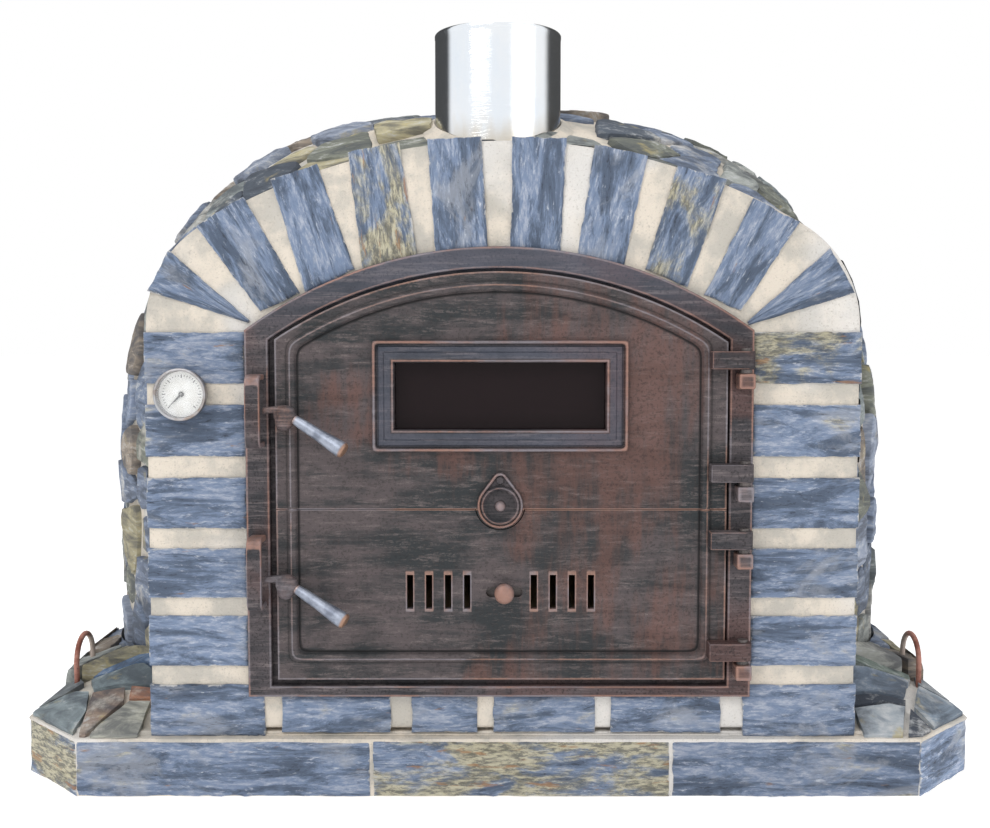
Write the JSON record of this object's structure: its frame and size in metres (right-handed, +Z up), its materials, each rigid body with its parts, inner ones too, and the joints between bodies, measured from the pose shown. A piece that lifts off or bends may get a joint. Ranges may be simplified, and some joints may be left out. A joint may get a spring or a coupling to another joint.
{
  "type": "wood fired pizza oven",
  "caption": "Domed masonry oven on a slab, with a slate faced front arch, a steel flue and a cast iron door in two leaves with window, latches and air shutter.",
  "frame": {"origin": "centre of the slab's underside, on the ground", "axes": "+Z up, the door faces -Y, +X to the right for someone who faces the door"},
  "size_m": [1.1, 1.1424, 0.8785],
  "materials": {
    "mortar": "rough",
    "slate": "rough, split",
    "dome_stone": "rough, split",
    "firebrick": "matte",
    "insulating_board": "matte",
    "insulating_blanket": "matte",
    "gasket": "matte",
    "cast_iron": "rough, rubbed with copper at its edges",
    "grip_steel": "satin",
    "plain_steel": "satin",
    "stainless_steel": "polished",
    "rusty_steel": "rusty",
    "door_glass": "glossy",
    "clear_glass": "glossy",
    "dial_white": "satin",
    "needle_black": "satin"
  },
  "bodies": {
    "oven": {"base_slab": "mortar", "front_tile_left": "slate", "front_tile_middle": "slate", "front_tile_right": "slate", "corner_tile_left": "slate", "corner_tile_right": "slate", "side_tile_left": "slate", "side_tile_right": "slate", "back_tile": "slate", "paving_front_left": "slate", "paving_front_right": "slate", "paving_rear_left": "slate", "paving_rear_right": "slate", "lifting_loop_front_left": "rusty_steel", "lifting_loop_front_right": "rusty_steel", "lifting_loop_rear_left": "rusty_steel", "lifting_loop_rear_right": "rusty_steel", "front_arch": "mortar", "arch_facing": "slate", "stone_cladding": "dome_stone", "insulation_blanket": "insulating_blanket", "brick_dome": "firebrick", "floor_insulation": "insulating_board", "oven_floor": "firebrick", "flue_pipe": "stainless_steel", "flue_spigot": "stainless_steel", "door_frame": "cast_iron", "upper_keeper": "cast_iron", "lower_keeper": "cast_iron", "thermometer_case": "stainless_steel", "thermometer_dial": "dial_white", "thermometer_glass": "clear_glass", "thermometer_stem": "plain_steel"},
    "upper_leaf": {"upper_leaf": "cast_iron", "window_glass": "door_glass", "glass_seal": "gasket", "glass_retainer": "plain_steel", "retainer_screw_1": "plain_steel", "retainer_screw_2": "plain_steel", "retainer_screw_3": "plain_steel", "retainer_screw_4": "plain_steel", "hinge_pin_1": "plain_steel", "hinge_pin_2": "plain_steel", "spyhole_pin": "plain_steel"},
    "lower_leaf": {"lower_leaf": "cast_iron", "shutter_guide_upper": "plain_steel", "shutter_guide_lower": "plain_steel", "hinge_pin_3": "plain_steel", "hinge_pin_4": "plain_steel"},
    "upper_latch": {"upper_latch": "cast_iron", "upper_grip": "grip_steel", "upper_latch_nut": "plain_steel"},
    "lower_latch": {"lower_latch": "cast_iron", "lower_grip": "grip_steel", "lower_latch_nut": "plain_steel"},
    "spyhole_cover": {"spyhole_cover": "cast_iron"},
    "shutter": {"shutter_plate": "plain_steel", "shutter_knob": "cast_iron"},
    "needle": {"thermometer_needle": "needle_black"}
  },
  "joints": [
    {"name": "upper_leaf_hinge", "type": "hinge", "parent": "oven", "child": "upper_leaf", "pos_m": [0.265, -0.5615, 0.3215], "axis": [0, 0, 1], "range_deg": [0, 120]},
    {"name": "lower_leaf_hinge", "type": "hinge", "parent": "oven", "child": "lower_leaf", "pos_m": [0.265, -0.5615, 0.3215], "axis": [0, 0, 1], "range_deg": [0, 120]},
    {"name": "upper_latch_turn", "type": "hinge", "parent": "upper_leaf", "child": "upper_latch", "pos_m": [-0.229, -0.55, 0.42], "axis": [0, 1, 0], "range_deg": [-30, 60]},
    {"name": "lower_latch_turn", "type": "hinge", "parent": "lower_leaf", "child": "lower_latch", "pos_m": [-0.229, -0.55, 0.2375], "axis": [0, 1, 0], "range_deg": [-30, 60]},
    {"name": "spyhole_swing", "type": "hinge", "parent": "upper_leaf", "child": "spyhole_cover", "pos_m": [0.002, -0.55, 0.3535], "axis": [0, 1, 0], "range_deg": [-90, 90]},
    {"name": "shutter_slide", "type": "slide", "parent": "lower_leaf", "child": "shutter", "axis": [1, 0, 0], "range_m": [-0.0104, 0.0104]},
    {"name": "needle_turn", "type": "hinge", "parent": "oven", "child": "needle", "pos_m": [-0.343, -0.55, 0.4468], "axis": [0, 1, 0], "range_deg": [0, 270]}
  ]
}
